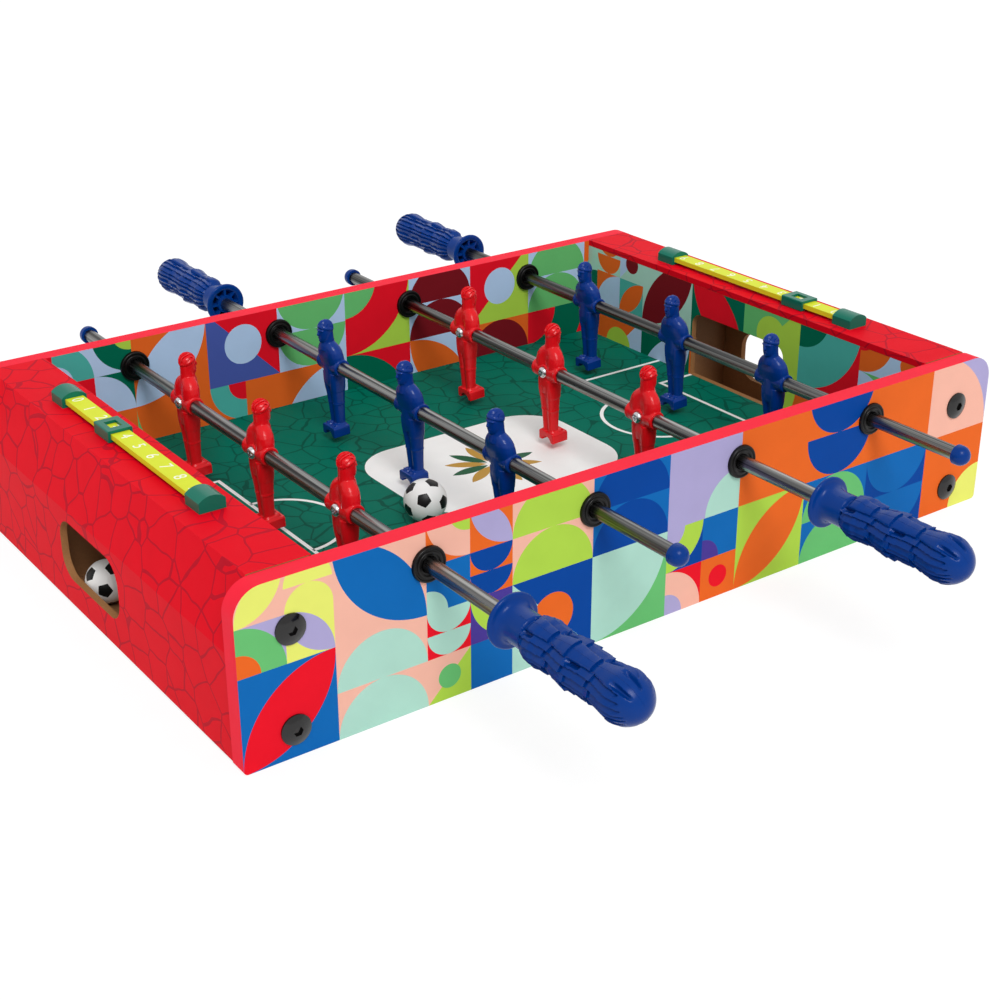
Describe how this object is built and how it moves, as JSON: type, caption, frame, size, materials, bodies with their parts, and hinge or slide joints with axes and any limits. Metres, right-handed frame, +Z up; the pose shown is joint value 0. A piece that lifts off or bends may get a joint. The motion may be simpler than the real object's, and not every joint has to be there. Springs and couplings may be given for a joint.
{
  "type": "tabletop football game",
  "caption": "Tabletop football box with four sliding, spinning rods of moulded players, end goals with ball returns, bead-style score counters and loose balls.",
  "frame": {"origin": "on the table under the middle of the pitch and of the whole table, at the bottom of the side panels", "axes": "+X towards the right goal, +Y away from the front panel, +Z up; the rods lie along Y"},
  "size_m": [0.51, 0.6506, 0.1093],
  "materials": {
    "side_panel_board": "printed satin board",
    "pitch_board": "printed satin board",
    "end_wall_board": "printed satin board",
    "cover_board": "printed satin board",
    "raw_board": "bare pressed board",
    "block_wood": "bare wood",
    "black_metal": "black satin",
    "black_plastic": "black satin",
    "green_plastic": "green satin",
    "yellow_plastic": "printed",
    "rod_steel": "bright drawn",
    "screw_steel": "plated",
    "handle_plastic": "moulded gloss",
    "red_plastic": "moulded gloss",
    "blue_plastic": "moulded gloss",
    "ball_plastic": "white with black patches"
  },
  "bodies": {
    "cabinet": {"front_panel": "side_panel_board", "back_panel": "side_panel_board", "pitch_board": "pitch_board", "goal_wall_left": "end_wall_board", "end_cover_left": "cover_board", "end_floor_left": "raw_board", "ball_guides_left": "raw_board", "corner_blocks_left": "block_wood", "goal_wall_right": "end_wall_board", "end_cover_right": "cover_board", "end_floor_right": "raw_board", "ball_guides_right": "raw_board", "corner_blocks_right": "block_wood", "panel_bolts": "black_metal", "bushes_front_outer": "black_plastic", "bushes_front_inner": "black_plastic", "bushes_back_outer": "black_plastic", "bushes_back_inner": "black_plastic", "score_ends_left": "green_plastic", "score_bar_left": "yellow_plastic", "score_ends_right": "green_plastic", "score_bar_right": "yellow_plastic"},
    "rod_1_cap": {"end_cap_1": "handle_plastic"},
    "rod_1": {"rod_tube_1": "rod_steel", "handle_1": "handle_plastic", "player_1_1": "red_plastic", "player_1_2": "red_plastic", "player_1_3": "red_plastic", "screws_1": "screw_steel"},
    "rod_2_cap": {"end_cap_2": "handle_plastic"},
    "rod_2": {"rod_tube_2": "rod_steel", "handle_2": "handle_plastic", "player_2_1": "blue_plastic", "player_2_2": "blue_plastic", "player_2_3": "blue_plastic", "screws_2": "screw_steel"},
    "rod_3_cap": {"end_cap_3": "handle_plastic"},
    "rod_3": {"rod_tube_3": "rod_steel", "handle_3": "handle_plastic", "player_3_1": "red_plastic", "player_3_2": "red_plastic", "player_3_3": "red_plastic", "screws_3": "screw_steel"},
    "rod_4_cap": {"end_cap_4": "handle_plastic"},
    "rod_4": {"rod_tube_4": "rod_steel", "handle_4": "handle_plastic", "player_4_1": "blue_plastic", "player_4_2": "blue_plastic", "player_4_3": "blue_plastic", "screws_4": "screw_steel"},
    "score_slider_left": {"score_slider_left": "green_plastic"},
    "score_slider_right": {"score_slider_right": "green_plastic"},
    "ball_pitch": {"ball_pitch": "ball_plastic"},
    "ball_return": {"ball_return": "ball_plastic"}
  },
  "joints": [
    {"name": "rod_1_slide", "type": "slide", "parent": "cabinet", "child": "rod_1_cap", "axis": [0, 1, 0], "range_m": [-0.051, 0.058]},
    {"name": "rod_1_spin", "type": "hinge", "parent": "rod_1_cap", "child": "rod_1", "pos_m": [-0.1518, -0.0035, 0.0785], "axis": [0, 1, 0], "continuous": true},
    {"name": "rod_2_slide", "type": "slide", "parent": "cabinet", "child": "rod_2_cap", "axis": [0, 1, 0], "range_m": [-0.054, 0.055]},
    {"name": "rod_2_spin", "type": "hinge", "parent": "rod_2_cap", "child": "rod_2", "pos_m": [-0.0506, -0.0005, 0.0785], "axis": [0, 1, 0], "continuous": true},
    {"name": "rod_3_slide", "type": "slide", "parent": "cabinet", "child": "rod_3_cap", "axis": [0, 1, 0], "range_m": [-0.0545, 0.0545]},
    {"name": "rod_3_spin", "type": "hinge", "parent": "rod_3_cap", "child": "rod_3", "pos_m": [0.0506, 0, 0.0785], "axis": [0, 1, 0], "continuous": true},
    {"name": "rod_4_slide", "type": "slide", "parent": "cabinet", "child": "rod_4_cap", "axis": [0, 1, 0], "range_m": [-0.0525, 0.0565]},
    {"name": "rod_4_spin", "type": "hinge", "parent": "rod_4_cap", "child": "rod_4", "pos_m": [0.1518, -0.002, 0.0785], "axis": [0, 1, 0], "continuous": true},
    {"name": "score_left_slide", "type": "slide", "parent": "cabinet", "child": "score_slider_left", "axis": [0, 1, 0], "range_m": [-0.0899, 0.0425]},
    {"name": "score_right_slide", "type": "slide", "parent": "cabinet", "child": "score_slider_right", "axis": [0, 1, 0], "range_m": [-0.0267, 0.1057]},
    {"name": "ball_pitch_lift", "type": "slide", "parent": "cabinet", "child": "ball_pitch", "axis": [0, 0, 1], "range_m": [0, 0.11]},
    {"name": "ball_return_exit", "type": "hinge", "parent": "cabinet", "child": "ball_return", "pos_m": [-0.2535, 0.018, 0.018], "axis": [0, -1, 0], "range_deg": [0, 170]}
  ]
}
